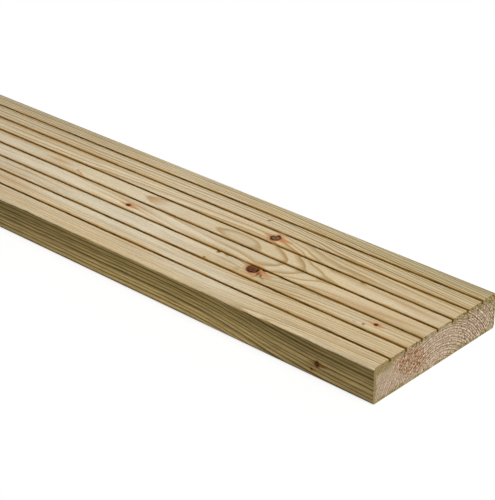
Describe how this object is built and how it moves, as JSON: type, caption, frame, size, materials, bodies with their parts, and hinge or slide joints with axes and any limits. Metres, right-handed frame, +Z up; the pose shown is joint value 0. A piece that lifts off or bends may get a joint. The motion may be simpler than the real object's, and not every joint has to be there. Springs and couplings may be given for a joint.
{
  "type": "decking board",
  "caption": "Pressure-treated softwood decking board: a planed plank with a grooved walking face, eased long edges and square saw-cut ends, laid flat across joists.",
  "frame": {"origin": "middle of the plain underside, which rests on the floor or the joists", "axes": "+X along the length, +Y across the width, +Z up out of the grooved walking face"},
  "size_m": [1.8, 0.12, 0.025],
  "materials": {
    "treated_softwood": "planed pine with a pale straw colour and a faint green preservative tint, matt"
  },
  "bodies": {
    "root": {"deck_board": "treated_softwood"}
  },
  "joints": []
}
